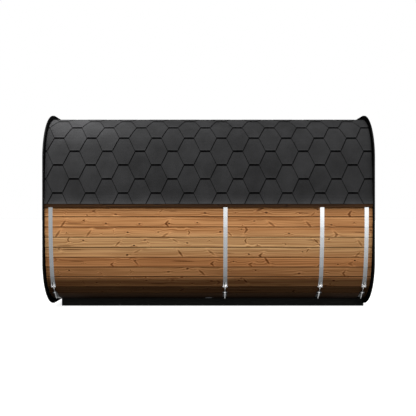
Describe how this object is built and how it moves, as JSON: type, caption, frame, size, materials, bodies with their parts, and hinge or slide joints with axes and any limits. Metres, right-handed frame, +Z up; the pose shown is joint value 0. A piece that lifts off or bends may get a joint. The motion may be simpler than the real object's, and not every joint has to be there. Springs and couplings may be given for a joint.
{
  "type": "cube sauna cabin",
  "caption": "Garden sauna cabin of rounded-square section: board shell between black end rings, shingled top, tensioned steel straps and an open porch end.",
  "frame": {"origin": "on the ground under the middle of the end rings", "axes": "+X along the building towards the porch end, +Y across it to the far side, +Z up"},
  "size_m": [4, 2.414, 2.452],
  "materials": {
    "treated_wood": "heat-treated pine boards, oiled, warm brown with dark knots",
    "door_wood": "planed heat-treated pine, oiled",
    "eaves_wood": "dark stained planed timber",
    "black_plate": "matt black powder coat",
    "base_timber": "black painted pressure-treated timber",
    "shingles": "charcoal mineral granules on bitumen felt, hexagonal tabs",
    "strap_steel": "stainless steel band, brushed along its length",
    "bolt_steel": "stainless steel, turned",
    "galvanised": "dull hot-dip galvanised plate",
    "glass": "tinted toughened glass"
  },
  "bodies": {
    "root": {"staves_floor": "treated_wood", "staves_roof": "treated_wood", "staves_near_side": "treated_wood", "staves_far_side": "treated_wood", "staves_near_lower_corner": "treated_wood", "staves_far_lower_corner": "treated_wood", "staves_near_upper_corner": "treated_wood", "staves_far_upper_corner": "treated_wood", "end_ring_front": "black_plate", "end_ring_back": "black_plate", "back_wall": "treated_wood", "front_wall_near": "treated_wood", "front_wall_far": "treated_wood", "front_wall_head": "treated_wood", "front_wall_sill": "treated_wood", "door_jamb_hinge_side": "door_wood", "door_jamb_handle_side": "door_wood", "door_head": "door_wood", "door_threshold": "door_wood", "door_glass": "glass", "door_hinges": "bolt_steel", "door_handle": "door_wood", "eaves_batten_near": "eaves_wood", "eaves_batten_far": "eaves_wood", "shingles_near_side": "shingles", "shingles_near_corner": "shingles", "shingles_roof": "shingles", "shingles_far_corner": "shingles", "shingles_far_side": "shingles", "strap_back": "strap_steel", "strap_middle": "strap_steel", "strap_front_wall": "strap_steel", "strap_porch": "strap_steel", "cross_pins_near": "bolt_steel", "cross_pins_far": "bolt_steel", "tension_bolts_near": "bolt_steel", "tension_bolts_far": "bolt_steel", "base_beam_near": "base_timber", "base_beam_far": "base_timber", "base_bearers": "base_timber", "base_fixing_plates": "galvanised"}
  },
  "joints": []
}
